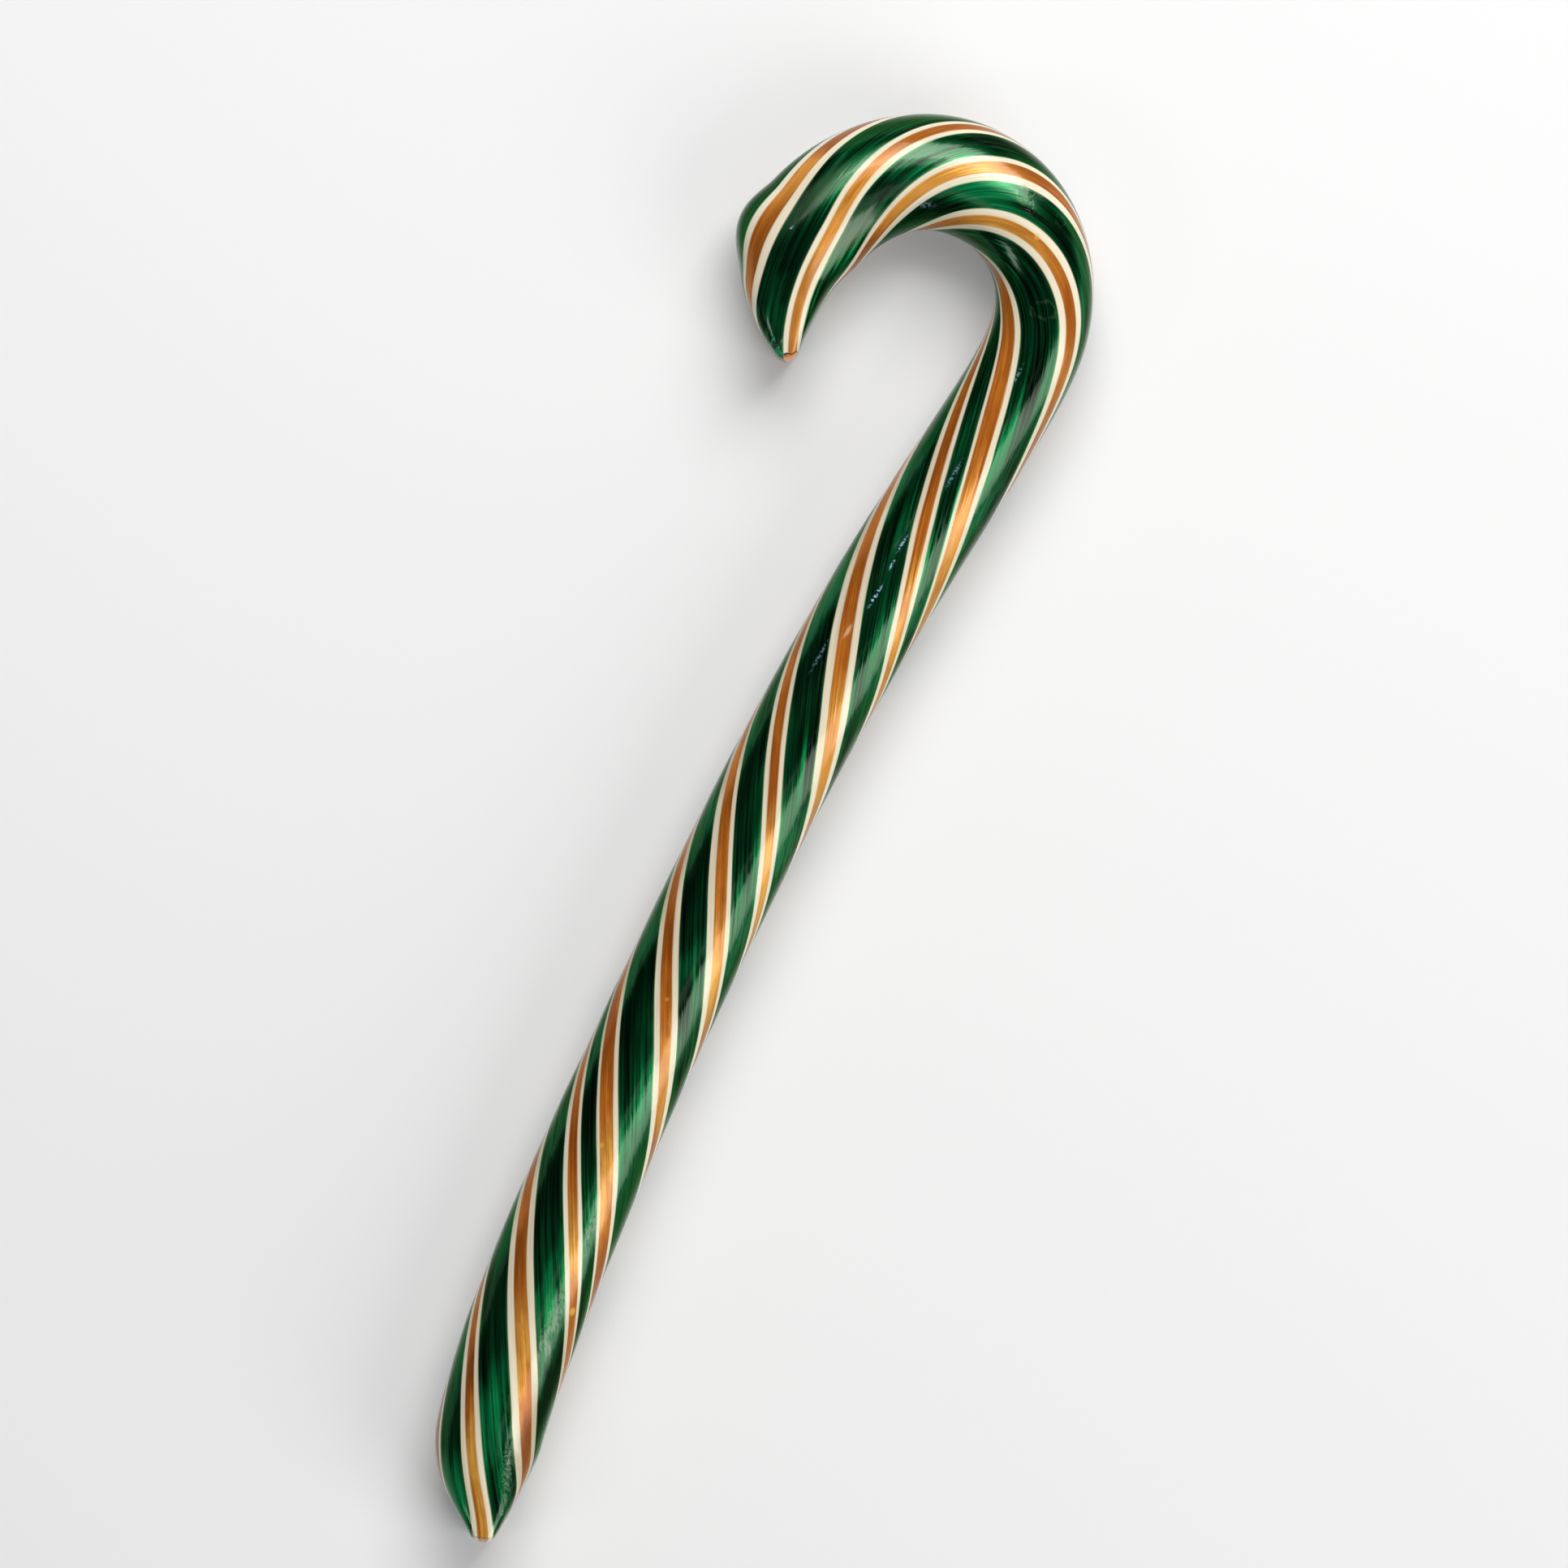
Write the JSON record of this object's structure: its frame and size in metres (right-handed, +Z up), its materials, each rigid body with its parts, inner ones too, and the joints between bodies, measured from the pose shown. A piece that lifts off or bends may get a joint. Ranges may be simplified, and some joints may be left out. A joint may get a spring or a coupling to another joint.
{
  "type": "candy cane",
  "caption": "Hook-ended stick of hard candy, deep green with winding amber stripes edged in cream, lying on its side.",
  "frame": {"origin": "middle of the bounding box in plan, at the surface that the candy lies on", "axes": "+Z up from that surface, +Y along the straight stick towards the hook, which turns towards -X"},
  "size_m": [0.052, 0.1912, 0.0151],
  "materials": {
    "candy": "glossy, slightly clear boiled sugar in deep green, with clear amber stripes edged in opaque cream"
  },
  "bodies": {
    "root": {"candy_cane": "candy"}
  },
  "joints": []
}
